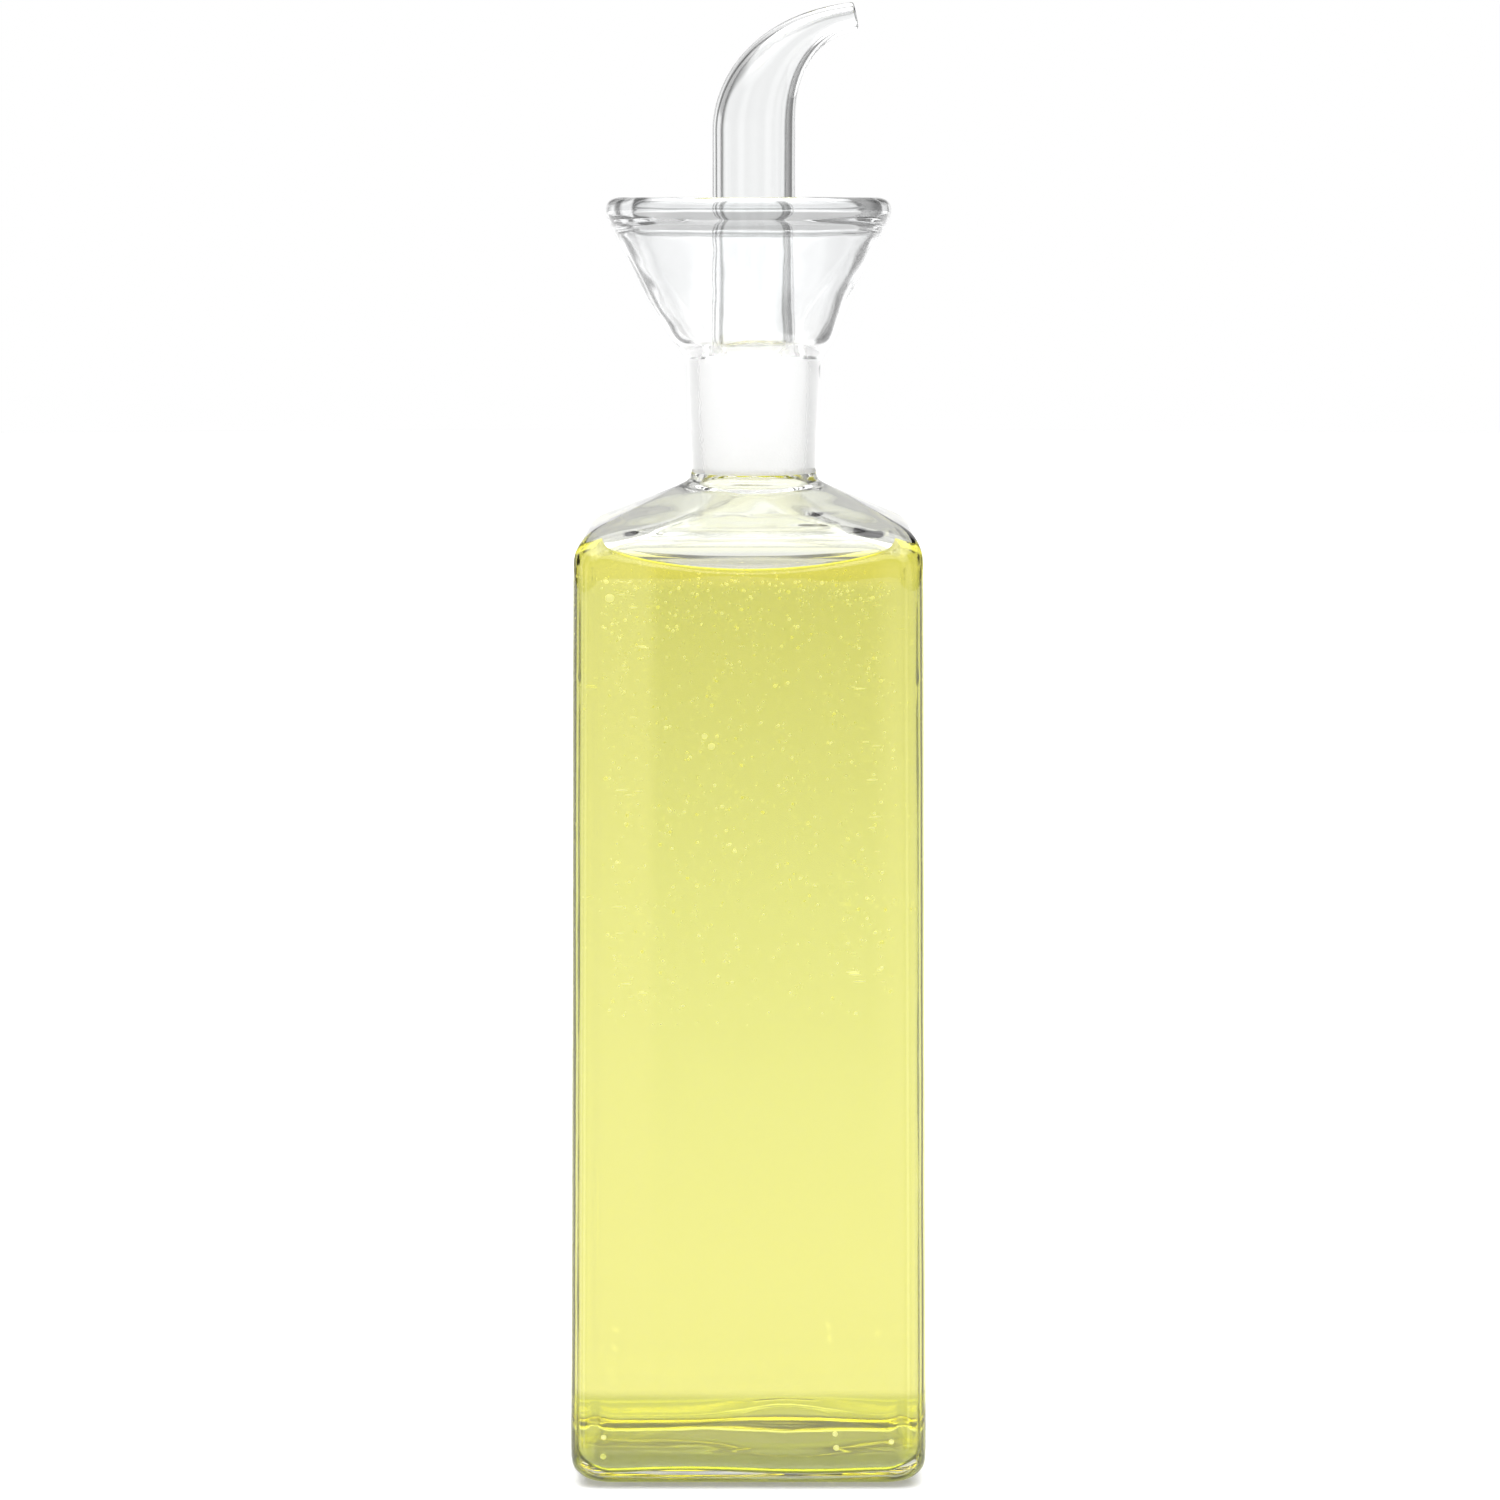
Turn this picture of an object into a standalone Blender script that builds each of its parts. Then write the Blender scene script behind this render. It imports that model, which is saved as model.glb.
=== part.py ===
"""Oil cruet of clear glass, in metres with +Z up, standing on z = 0 and pouring towards +X.

Three separate pieces: a square bottle whose neck opens into a drip funnel with a rolled rim, a hollow
glass spout whose ground plug rests in that neck, and the oil that fills the bottle up to its shoulder.

The bottle and the oil are lofted through level rings. Each ring is a station of half-width, corner
radius and height: a rounded square, or a circle where the corner radius equals the half-width.
The spout is lofted through circles that stand square to its centre-line.
"""

from math import cos, pi, radians, sin, sqrt, tan

import bmesh
import bpy
from mathutils import Vector

# Bottle body
BODY_HALF_WIDTH_BASE = 0.0314
BODY_HALF_WIDTH_TOP = 0.0304
BODY_CORNER_RADIUS = 0.004
BODY_WALL = 0.0022
BODY_TOP_Z = 0.1628

# Bottle base: a shallow push-up inside the flat ring that it stands on
BASE_EDGE_RADIUS = 0.005
BASE_CORNER_RADIUS = 0.004
BASE_RING_WIDTH = 0.005
BASE_PUSH_UP = 0.0004
FLOOR_THICKNESS = 0.003
FLOOR_EDGE_RADIUS = 0.0040

# Shoulder: from the rounded top of the body, up a gentle slope to the foot of the neck
SHOULDER_EDGE_RADIUS = 0.0067
SHOULDER_CORNER_RADIUS = 0.008
SHOULDER_SLOPE = radians(25.5)
SHOULDER_TOP_RADIUS = 0.0127
NECK_FILLET_RADIUS = 0.0019

# Neck, which is drawn slightly off the body's axis
NECK_OFFSET_X = 0.00095
NECK_RADIUS_BASE = 0.0111
NECK_RADIUS_TOP = 0.0120
NECK_WALL = 0.0024
NECK_BASE_Z = 0.1754
NECK_TOP_Z = 0.1978

# Drip funnel, which flares out of the neck into a straight cone, and its rolled rim
FUNNEL_FOOT_RADIUS = 0.0142
FUNNEL_FOOT_Z = 0.2006
FUNNEL_HALF_ANGLE = radians(26.4)
FUNNEL_WALL = 0.0020
FUNNEL_CENTRED_Z = 0.2100
FUNNEL_EASING = 0.0008
RIM_Z = 0.2238
RIM_OUTER_RADIUS = 0.0254
RIM_BEAD_RADIUS = 0.0022
RIM_BEAD_DEPTH = 0.0034
RIM_INNER_TURN = radians(235)

# Spout: ground plug, straight tube, bend and nozzle
PLUG_GAP = 0.0003
PLUG_TOP_Z = 0.1982
PLUG_BASE_Z = 0.1772
PLUG_EDGE = 0.0006
TUBE_RADIUS = 0.00735
TUBE_WALL = 0.0014
TUBE_SHOULDER_HEIGHT = 0.0012
BEND_START_Z = 0.2375
BEND_RADIUS = 0.0204
BEND_ANGLE = radians(79)
NOZZLE_LENGTH = 0.0016
NOZZLE_RADIUS = 0.0025
NOZZLE_LIP_RADIUS = 0.0006
ORIFICE_RADIUS = 0.00125
TAPER_LENGTH = 0.0295

# Oil
OIL_LEVEL_Z = 0.1615
OIL_GAP = 0.0003

# Fineness of the facets
SIDES_PER_QUARTER = 12
CORNER_CROWDING = 0.08
SPOUT_SIDES = 32
BEAD_STEPS = 9
BEND_STEPS = 14
EDGE_STEPS = 4
SLOPE_SHARES = (0.25, 0.5, 0.75, 1.0)
DOME_SHARES = (0.35, 0.7, 1.0)


def blend(first, last, share):
    """Value that lies a share of the way from first to last."""
    return first + (last - first) * share


def smooth_step(share):
    """Share eased in and out, held between 0 and 1."""
    share = min(1.0, max(0.0, share))
    return share * share * (3 - 2 * share)


def body_half_width(z):
    """Outer half-width of the body, which narrows slightly upwards."""
    return blend(BODY_HALF_WIDTH_BASE, BODY_HALF_WIDTH_TOP, z / BODY_TOP_Z)


def neck_radius(z):
    """Outer radius of the neck, which widens slightly upwards."""
    return blend(NECK_RADIUS_BASE, NECK_RADIUS_TOP, (z - NECK_BASE_Z) / (NECK_TOP_Z - NECK_BASE_Z))


def bore_radius(z):
    """Radius of the neck's ground bore, which the plug rests in."""
    return neck_radius(z) - NECK_WALL


def funnel_radius(z):
    """Outer radius of the funnel's straight cone."""
    return FUNNEL_FOOT_RADIUS + (z - FUNNEL_FOOT_Z) * tan(FUNNEL_HALF_ANGLE)


def axis_x(z):
    """Sideways place of the bottle's axis: central in body and rim, off centre in the neck."""
    into_neck = smooth_step((z - BODY_TOP_Z) / (NECK_BASE_Z - BODY_TOP_Z))
    out_of_neck = smooth_step((z - NECK_TOP_Z) / (FUNNEL_CENTRED_Z - NECK_TOP_Z))
    return NECK_OFFSET_X * (into_neck - out_of_neck)


def round_station(radius, z):
    """Station of a round stretch, such as the neck or the funnel."""
    return (radius, radius, z)


def under_base():
    """Stations of the underside, from its middle out to the bottom edge's rounding."""
    edge_centre = body_half_width(BASE_EDGE_RADIUS) - BASE_EDGE_RADIUS
    ring_inside = edge_centre - BASE_RING_WIDTH
    stations = []
    for share in DOME_SHARES:
        half_width = ring_inside * share
        stations.append((half_width, BASE_CORNER_RADIUS, BASE_PUSH_UP * (1 - smooth_step(share))))
    for step in range(EDGE_STEPS + 1):
        turn = pi / 2 * step / EDGE_STEPS
        half_width = edge_centre + BASE_EDGE_RADIUS * sin(turn)
        corner = blend(BASE_CORNER_RADIUS, BODY_CORNER_RADIUS, sin(turn))
        stations.append((half_width, corner, BASE_EDGE_RADIUS * (1 - cos(turn))))
    return stations


def over_floor(inset):
    """Stations of the floor inside the bottle, from its middle to the wall, inset from the glass."""
    wall_half_width = body_half_width(FLOOR_EDGE_RADIUS) - BODY_WALL - inset
    edge_radius = FLOOR_EDGE_RADIUS - inset
    edge_centre = wall_half_width - edge_radius
    floor_z = FLOOR_THICKNESS + inset
    wall_corner = BODY_CORNER_RADIUS - BODY_WALL - inset
    stations = []
    for share in DOME_SHARES[:-1]:
        half_width = edge_centre * share
        stations.append((half_width, wall_corner, floor_z + BASE_PUSH_UP * (1 - smooth_step(share))))
    for step in range(EDGE_STEPS + 1):
        turn = pi / 2 * step / EDGE_STEPS
        half_width = edge_centre + edge_radius * sin(turn)
        stations.append((half_width, wall_corner, floor_z + edge_radius * (1 - cos(turn))))
    return stations


def shoulder(inset):
    """Stations of the shoulder, from the top of the body to the foot of the neck, inset from its skin."""
    edge_radius = SHOULDER_EDGE_RADIUS - inset
    edge_centre = BODY_HALF_WIDTH_TOP - SHOULDER_EDGE_RADIUS
    stations = []
    for step in range(EDGE_STEPS + 1):
        share = step / EDGE_STEPS
        turn = (pi / 2 - SHOULDER_SLOPE) * share
        corner = blend(BODY_CORNER_RADIUS - inset, SHOULDER_CORNER_RADIUS, share)
        stations.append((edge_centre + edge_radius * cos(turn), corner, BODY_TOP_Z + edge_radius * sin(turn)))
    slope_width, slope_corner, slope_z = stations[-1]
    top_z = NECK_BASE_Z - inset / cos(SHOULDER_SLOPE)
    for share in SLOPE_SHARES:
        half_width = blend(slope_width, SHOULDER_TOP_RADIUS, share)
        roundness = blend(slope_corner / slope_width, 1.0, share)
        stations.append((half_width, half_width * roundness, blend(slope_z, top_z, share)))
    return stations


def neck_foot(radius, shoulder_z, fillet):
    """Stations of the fillet that turns from the shoulder's slope up into the neck."""
    stations = []
    for turn in (radians(35), radians(60), radians(90)):
        stations.append(round_station(radius + fillet * (1 - sin(turn)), shoulder_z + fillet * (1 - cos(turn))))
    return stations


def outer_skin():
    """Stations of the bottle's outside, from the middle of the base up to the rim."""
    stations = under_base() + shoulder(0.0)
    stations += neck_foot(NECK_RADIUS_BASE, NECK_BASE_Z, NECK_FILLET_RADIUS)
    for z in (NECK_TOP_Z - FUNNEL_EASING, NECK_TOP_Z):
        stations.append(round_station(neck_radius(z), z))
    for z in (FUNNEL_FOOT_Z, FUNNEL_FOOT_Z + FUNNEL_EASING, FUNNEL_CENTRED_Z):
        stations.append(round_station(funnel_radius(z), z))
    return stations


def rim_bead():
    """Stations round the rolled rim, from where the cone runs into it over the top to its inner side."""
    bead_centre = RIM_OUTER_RADIUS - RIM_BEAD_RADIUS
    stations = []
    for step in range(BEAD_STEPS + 1):
        turn = blend(-FUNNEL_HALF_ANGLE, RIM_INNER_TURN, step / BEAD_STEPS)
        radius = bead_centre + RIM_BEAD_RADIUS * cos(turn)
        stations.append(round_station(radius, RIM_Z + RIM_BEAD_RADIUS * sin(turn)))
    return stations


def inner_skin():
    """Stations of the bottle's inside, from the rim down to the middle of the floor."""
    cone_inset = FUNNEL_WALL / cos(FUNNEL_HALF_ANGLE)
    cone_start_z = FUNNEL_FOOT_Z + FUNNEL_EASING
    stations = []
    for z in (RIM_Z - RIM_BEAD_DEPTH, FUNNEL_CENTRED_Z, cone_start_z):
        stations.append(round_station(funnel_radius(z) - cone_inset, z))
    for z in (NECK_TOP_Z + FUNNEL_EASING, PLUG_BASE_Z):
        stations.append(round_station(bore_radius(z), z))
    under_shoulder = shoulder(BODY_WALL)
    shoulder_z = under_shoulder[-1][2]
    foot_fillet = PLUG_BASE_Z - shoulder_z - PLUG_EDGE
    stations += reversed(neck_foot(bore_radius(PLUG_BASE_Z), shoulder_z, foot_fillet))
    stations += reversed(under_shoulder)
    stations += reversed(over_floor(0.0))
    return stations


def oil_skin():
    """Stations of the oil, from the middle of its underside up the walls to its level top."""
    top = body_half_width(OIL_LEVEL_Z) - BODY_WALL - OIL_GAP
    corner = BODY_CORNER_RADIUS - BODY_WALL - OIL_GAP
    stations = over_floor(OIL_GAP)
    stations.append((top, corner, OIL_LEVEL_Z))
    stations.append((top * DOME_SHARES[0], corner, OIL_LEVEL_Z))
    return stations


def quarter_angles(roundness):
    """Directions of a quarter of a ring: even round a circle, crowded at the corner of a square."""
    crowding = blend(CORNER_CROWDING, 1.0, roundness)
    angles = []
    for step in range(SIDES_PER_QUARTER):
        place = 2 * step / SIDES_PER_QUARTER - 1
        angles.append(pi / 4 * (1 + place * blend(crowding, 1.0, place * place)))
    return angles


def reach(half_width, corner_radius, angle):
    """Distance from a rounded square's centre to its edge, for an angle within the first quarter."""
    corner = half_width - corner_radius
    long_part = max(cos(angle), sin(angle))
    short_part = min(cos(angle), sin(angle))
    if half_width * short_part <= corner * long_part:
        return half_width / long_part
    offset = corner * (long_part - short_part)
    return corner * (long_part + short_part) + sqrt(corner_radius ** 2 - offset ** 2)


def level_ring(half_width, corner_radius, z):
    """Points of the level ring at one station."""
    corner_radius = min(corner_radius, half_width)
    angles = quarter_angles(corner_radius / half_width)
    ring = []
    for quarter in range(4):
        for angle in angles:
            distance = reach(half_width, corner_radius, angle)
            turned = angle + quarter * pi / 2
            ring.append(Vector((axis_x(z) + distance * cos(turned), distance * sin(turned), z)))
    return ring


def centre_line(travel):
    """Point and direction of the spout's centre-line, a distance past the start of its bend."""
    turn = min(max(travel / BEND_RADIUS, 0.0), BEND_ANGLE)
    beyond = travel - turn * BEND_RADIUS
    direction = Vector((sin(turn), 0, cos(turn)))
    start = Vector((NECK_OFFSET_X, 0, BEND_START_Z))
    arc = Vector((BEND_RADIUS * (1 - cos(turn)), 0, BEND_RADIUS * sin(turn)))
    return start + arc + direction * beyond, direction


def tapered(full_radius, end_radius, travel):
    """Radius of the spout, which narrows smoothly along its bend."""
    return blend(full_radius, end_radius, smooth_step(travel / TAPER_LENGTH))


def spout_ring(travel, radius):
    """Points of a ring of the spout, square to its centre-line."""
    centre, direction = centre_line(travel)
    across = Vector((direction.z, 0, -direction.x))
    ring = []
    for step in range(SPOUT_SIDES):
        turn = 2 * pi * step / SPOUT_SIDES
        ring.append(centre + (across * cos(turn) + Vector((0, 1, 0)) * sin(turn)) * radius)
    return ring


def plug_rings():
    """Rings of the ground plug's outside, from its foot to where the tube leaves it."""
    top_radius = bore_radius(PLUG_TOP_Z) - PLUG_GAP
    base_radius = bore_radius(PLUG_BASE_Z) - PLUG_GAP
    profile = (
        (base_radius - PLUG_EDGE, PLUG_BASE_Z),
        (base_radius, PLUG_BASE_Z + PLUG_EDGE),
        (top_radius, PLUG_TOP_Z - PLUG_EDGE),
        (top_radius - PLUG_EDGE, PLUG_TOP_Z),
        (TUBE_RADIUS + PLUG_EDGE, PLUG_TOP_Z + PLUG_EDGE),
        (TUBE_RADIUS, PLUG_TOP_Z + TUBE_SHOULDER_HEIGHT),
    )
    return [spout_ring(z - BEND_START_Z, radius) for radius, z in profile]


def spout_rings():
    """All rings of the spout, up its outside to the nozzle and back down its bore."""
    length = BEND_RADIUS * BEND_ANGLE + NOZZLE_LENGTH
    lip_start = length - NOZZLE_LIP_RADIUS
    travels = [lip_start * step / BEND_STEPS for step in range(BEND_STEPS + 1)]
    bore = TUBE_RADIUS - TUBE_WALL
    outside = [spout_ring(travel, tapered(TUBE_RADIUS, NOZZLE_RADIUS, travel)) for travel in travels]
    inside = [spout_ring(travel, tapered(bore, ORIFICE_RADIUS, travel)) for travel in travels]
    lip_outer = tapered(TUBE_RADIUS, NOZZLE_RADIUS, length) - NOZZLE_LIP_RADIUS / 2
    lip_inner = tapered(bore, ORIFICE_RADIUS, length) + NOZZLE_LIP_RADIUS / 2
    lip = [spout_ring(length, lip_outer), spout_ring(length, lip_inner)]
    bore_foot = [spout_ring(PLUG_BASE_Z - BEND_START_Z, bore)]
    return plug_rings() + outside + lip + list(reversed(inside)) + bore_foot


def clear_scene():
    """Removes every object that the scene starts with."""
    for item in list(bpy.data.objects):
        bpy.data.objects.remove(item)


def material(name, colour, roughness, transmission, refraction):
    """Principled material of a clear or coloured piece."""
    finish = bpy.data.materials.new(name)
    finish.use_nodes = True
    shader = finish.node_tree.nodes["Principled BSDF"]
    shader.inputs["Base Color"].default_value = (*colour, 1.0)
    shader.inputs["Metallic"].default_value = 0.0
    shader.inputs["Roughness"].default_value = roughness
    shader.inputs["Transmission Weight"].default_value = transmission
    shader.inputs["IOR"].default_value = refraction
    finish.diffuse_color = (*colour, 1.0)
    return finish


def add_fan(mesh, row):
    """Closes an open end with triangles to the middle of its last ring."""
    centre = Vector((0, 0, 0))
    for corner in row:
        centre += corner.co / len(row)
    pole = mesh.verts.new(centre)
    for corner, following in zip(row, row[1:] + row[:1]):
        mesh.faces.new((corner, following, pole))


def loft(name, rings, finish, ends_meet):
    """Closed body through rings in order, whose last ring meets the first or whose ends are fanned."""
    mesh = bmesh.new()
    rows = [[mesh.verts.new(point) for point in ring] for ring in rings]
    row_pairs = list(zip(rows, rows[1:]))
    if ends_meet:
        row_pairs.append((rows[-1], rows[0]))
    else:
        add_fan(mesh, rows[0])
        add_fan(mesh, rows[-1])
    for row, following_row in row_pairs:
        for step in range(len(row)):
            following = (step + 1) % len(row)
            mesh.faces.new((row[step], row[following], following_row[following], following_row[step]))
    bmesh.ops.recalc_face_normals(mesh, faces=mesh.faces)
    data = bpy.data.meshes.new(name)
    mesh.to_mesh(data)
    mesh.free()
    data.materials.append(finish)
    data.shade_smooth()
    data.set_sharp_from_angle(angle=radians(50))
    piece = bpy.data.objects.new(name, data)
    bpy.context.scene.collection.objects.link(piece)
    return piece


def build_bottle():
    """Square bottle, neck and drip funnel, one piece of glass."""
    finish = material("clear_glass", (0.93, 0.96, 0.96), 0.02, 1.0, 1.47)
    stations = outer_skin() + rim_bead() + inner_skin()
    return loft("bottle", [level_ring(*station) for station in stations], finish, ends_meet=False)


def build_spout():
    """Hollow pouring spout with its ground plug."""
    finish = material("spout_glass", (0.95, 0.97, 0.97), 0.04, 1.0, 1.47)
    return loft("spout", spout_rings(), finish, ends_meet=True)


def build_oil():
    """Oil up to its level below the shoulder."""
    finish = material("yellow_oil", (0.86, 0.84, 0.28), 0.05, 0.6, 1.47)
    return loft("oil", [level_ring(*station) for station in oil_skin()], finish, ends_meet=False)


clear_scene()
build_bottle()
build_spout()
build_oil()
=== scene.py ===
import random
from math import asin, ceil, cos, exp, pi, radians, sin, sqrt, tan

import bmesh
import bpy
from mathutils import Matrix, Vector, noise


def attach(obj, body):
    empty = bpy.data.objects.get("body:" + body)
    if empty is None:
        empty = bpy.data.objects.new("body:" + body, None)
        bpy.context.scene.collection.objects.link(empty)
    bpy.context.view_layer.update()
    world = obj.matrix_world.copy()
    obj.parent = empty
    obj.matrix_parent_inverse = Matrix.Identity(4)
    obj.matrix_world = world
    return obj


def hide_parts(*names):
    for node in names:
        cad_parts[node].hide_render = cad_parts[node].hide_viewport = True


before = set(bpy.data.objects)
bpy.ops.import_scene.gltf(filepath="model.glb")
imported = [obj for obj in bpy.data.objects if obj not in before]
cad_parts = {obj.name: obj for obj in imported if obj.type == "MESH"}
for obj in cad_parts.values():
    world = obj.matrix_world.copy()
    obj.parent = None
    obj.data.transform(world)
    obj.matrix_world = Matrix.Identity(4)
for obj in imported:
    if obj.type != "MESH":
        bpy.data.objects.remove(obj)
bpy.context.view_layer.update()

# The part's own sizes, in metres
BODY_HALF_WIDTH_BASE = 0.0314
BODY_HALF_WIDTH_TOP = 0.0304
BODY_CORNER_RADIUS = 0.004
BODY_WALL = 0.0022
BODY_TOP_Z = 0.1628
BASE_EDGE_RADIUS = 0.005
BASE_CORNER_RADIUS = 0.004
BASE_RING_WIDTH = 0.005
BASE_PUSH_UP = 0.0004
FLOOR_THICKNESS = 0.003
FLOOR_EDGE_RADIUS = 0.0040
SHOULDER_EDGE_RADIUS = 0.0067
SHOULDER_CORNER_RADIUS = 0.008
SHOULDER_SLOPE = radians(25.5)
SHOULDER_TOP_RADIUS = 0.0127
NECK_FILLET_RADIUS = 0.0019
NECK_OFFSET_X = 0.00095
NECK_RADIUS_BASE = 0.0111
NECK_RADIUS_TOP = 0.0120
NECK_WALL = 0.0024
NECK_BASE_Z = 0.1754
NECK_TOP_Z = 0.1978
FUNNEL_FOOT_RADIUS = 0.0142
FUNNEL_FOOT_Z = 0.2006
FUNNEL_HALF_ANGLE = radians(26.4)
FUNNEL_WALL = 0.0020
FUNNEL_CENTRED_Z = 0.2100
FUNNEL_EASING = 0.0008
RIM_Z = 0.2238
RIM_OUTER_RADIUS = 0.0254
RIM_BEAD_RADIUS = 0.0022
RIM_BEAD_DEPTH = 0.0034
RIM_INNER_TURN = radians(235)
PLUG_GAP = 0.0003
PLUG_TOP_Z = 0.1982
PLUG_BASE_Z = 0.1772
PLUG_EDGE = 0.0006
TUBE_RADIUS = 0.00735
TUBE_WALL = 0.0014
TUBE_SHOULDER_HEIGHT = 0.0012
BEND_START_Z = 0.2375
BEND_RADIUS = 0.0204
BEND_ANGLE = radians(79)
NOZZLE_LENGTH = 0.0016
NOZZLE_RADIUS = 0.0025
NOZZLE_LIP_RADIUS = 0.0006
ORIFICE_RADIUS = 0.00125
TAPER_LENGTH = 0.0295
OIL_LEVEL_Z = 0.1615

# How far the oil reaches into the glass, how high it climbs at the middle of a side and how much higher
# at a corner, and how far from the wall its surface is bowed
OIL_INTO_WALL = 0.00015
MENISCUS_HEIGHT = 0.0006
CORNER_CREEP = 0.0040
MENISCUS_REACH = 0.0200
MENISCUS_POWER = 1.8

# Uneven glass of the floor inside: a swelling that starts a little in front of the middle, is full at
# the back and fades out up the wall
SWELL_HEIGHT = 0.0022
SWELL_X = 0.0065
SWELL_WIDTH = 0.011
SWELL_FRONT_SHARE = 0.2
SWELL_FADE = 0.003

# Waves in the hand-worked glass: their depth, their length and a number for their pattern. The two skins
# of the bottle have the same waves in different patterns.
FLOOR_WAVES = (0.0003, 0.022, 17.0)
BODY_WAVES = (0.00006, 0.020)
SHOULDER_WAVES = (0.00008, 0.008)
FUNNEL_WAVES = (0.00010, 0.009)
FUNNEL_RIPPLES = (0.00004, 0.004)
OUTSIDE_PATTERN = 3.0
INSIDE_PATTERN = 11.0
PLUG_WAVES = (0.00003, 0.016, 5.0)
TUBE_WAVES = (0.00003, 0.016, 8.0)

# Fineness of the visible surfaces
SIDES_PER_QUARTER = 40
CORNER_CROWDING = 0.08
SPOUT_SIDES = 96
ARC_STEPS = 14
BEAD_STEPS = 24
BEND_STEPS = 60
LIP_STEPS = 8
FOOT_TURNS = (radians(35), radians(60), radians(90))
FINE_SPACING = 0.0006
COARSE_SPACING = 0.004
LONG_STRETCH = 0.05
SMOOTHING_PASSES = 4
DOME_SHARES = (0.1, 0.35, 0.7, 1.0)
LEVEL_SHARES = (0.8, 0.5, 0.2)

# Camera, at the height of the rim, looking slightly down
CAMERA_X = 0.00028
CAMERA_DISTANCE = 0.86
CAMERA_HEIGHT = 0.2243
CAMERA_PITCH = radians(6.43)
CAMERA_LENS = 115.7
CAMERA_NEAR = 0.01

# Refraction: the oil's is a little less than the glass's, so that the walls show
GLASS_REFRACTION = 1.52
OIL_REFRACTION = 1.465

# Studio: white all round but for grey cards, each given by the directions of its two edges in degrees
# from +X. A card is darkest near its edges, and a wide one is lighter in its middle.
CARD_ANGLES = ((-168, -57), (-33, 68), (112, 125), (145, 168))
CARD_EDGE = 3
CARD_GREY = 0.12
CARD_MIDDLE = 0.42
CARD_RIM = 14
BACKDROP_TOP = 0.58
OVERHEAD = 2.8
UNDERNEATH = 1.6

# Heights between which one light passes into the next, as the sine of their elevation
BACKDROP_DIMS = (0.10, 0.17)
OVERHEAD_STARTS = (0.60, 0.75)
UNDERNEATH_ENDS = (-0.65, -0.45)

# Floor, and the lamp above it
FLOOR_RADIUS = 4.0
FLOOR_SIDES = 96
FLOOR_Z = -0.0002
FLOOR_GREY = 0.9
FLOOR_ROUGHNESS = 0.9
FLOOR_GLOW = 0.2
LAMP_POWER = 4.0
LAMP_SIZE = 0.9
LAMP_PLACE = (0.0, -0.1, 1.1)

# Bounces of light through glass, off surfaces and through what is see-through
GLASS_BOUNCES = 28
SURFACE_BOUNCES = 12
CLEAR_BOUNCES = 16

# Colours
WHITE = (1.0, 1.0, 1.0)
SPOUT_COLOUR = (0.99, 0.995, 0.995)
OIL_ABSORPTION = (0.985, 0.962, 0.04)
OIL_DENSITY = 25.0
BUBBLE_COLOUR = (0.97, 0.95, 0.45)
BUBBLE_LIGHT = (1.0, 0.97, 0.30)

# Colours of the bottle's glass, by share of the way from the body's top up into the funnel: the yellow on
# the shoulder is a painted reflection of the oil below, and the grey of the funnel is painted shade
BOTTLE_PAINTED_TINTS = (
    (0.0, (0.995, 0.998, 0.995)),
    (0.06, (0.945, 0.958, 0.865)),
    (0.25, (0.955, 0.965, 0.90)),
    (0.32, (0.995, 0.998, 0.995)),
    (0.75, (0.995, 0.998, 0.995)),
    (1.0, (0.955, 0.962, 0.965)),
)

# Colours of the oil's skin, by share of the way up to its level: the dark olive band at its foot is
# painted shade; above it the skin is pale, deeper in colour towards the top and amber at its surface
OIL_TINTS_AND_PAINTED_SHADE = (
    (0.0, (0.50, 0.55, 0.12)),
    (0.037, (0.50, 0.55, 0.12)),
    (0.045, (1.0, 1.0, 0.96)),
    (0.19, (1.0, 1.0, 0.96)),
    (0.41, (0.95, 0.97, 0.92)),
    (0.63, (0.86, 0.89, 0.74)),
    (0.80, (0.78, 0.80, 0.56)),
    (0.98, (0.71, 0.72, 0.38)),
    (1.0, (1.0, 0.91, 0.45)),
)

# Painted light on the oil's skin, which is whiter towards both sides, above its foot: places along X or Z
# between which this sets in, and how much
LEFT_FADES = (-0.0185, -0.0155)
LEFT_PAINTED_LIGHT = 0.36
RIGHT_STARTS = (0.021, 0.026)
RIGHT_PAINTED_LIGHT = 0.30
FOOT_ENDS = (0.007, 0.011)

# Fine bumps, each a length and a height
GLASS_BUMPS = (0.012, 0.00004)
GROUND_BUMPS = (0.0004, 0.00005)
BUBBLE_BUMPS = (0.001, 0.00002)

# Ground glass, and bubbles: their faint light stands for what they scatter
GROUND_ROUGHNESS = 0.35
GROUND_TRANSMISSION = 0.45
GROUND_GLOW = 0.24
BUBBLE_ROUGHNESS = 0.35
BUBBLE_GLOW = 0.75

# Bubbles in the oil: a few are long streaks at the front wall, and many of the others lie there too
BUBBLE_COUNT = 1250
BUBBLE_RADIUS = 0.00010
BUBBLE_RADIUS_SPREAD = 0.00022
BUBBLE_START = 0.0015
BUBBLE_DEPTH = 0.078
BUBBLE_CROWDING = 1.7
BUBBLE_CLEARANCE = 0.0005
BUBBLE_STRETCH = (0.85, 1.25)
FRONT_SHARE = 0.6
STREAK_SHARE = 0.06
STREAK_THINNESS = 0.6
STREAK_STRETCH = (3.0, 8.0)
STREAK_PLACES = (0.62, 0.85)

# Bubbles this close to both walls of a corner are drawn in towards the middle
CORNER_WIDTH = 0.004
CORNER_DRAW = 0.93

# The large bubbles, by their place along X, their height and their radius
LARGE_STRETCH = 1.1
LARGE_BUBBLES = (
    (-0.0240, 0.1570, 0.00075),
    (-0.0076, 0.1330, 0.00050),
    (-0.0064, 0.1312, 0.00060),
    (-0.0143, 0.1345, 0.00035),
    (-0.0255, 0.0088, 0.00045),
    (-0.0256, 0.0054, 0.00050),
    (0.0153, 0.0094, 0.00045),
    (0.0155, 0.0069, 0.00050),
    (0.0252, 0.0080, 0.00045),
)


def blend(first, last, share):
    """Value that lies a share of the way from first to last."""
    return first + (last - first) * share


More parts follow.
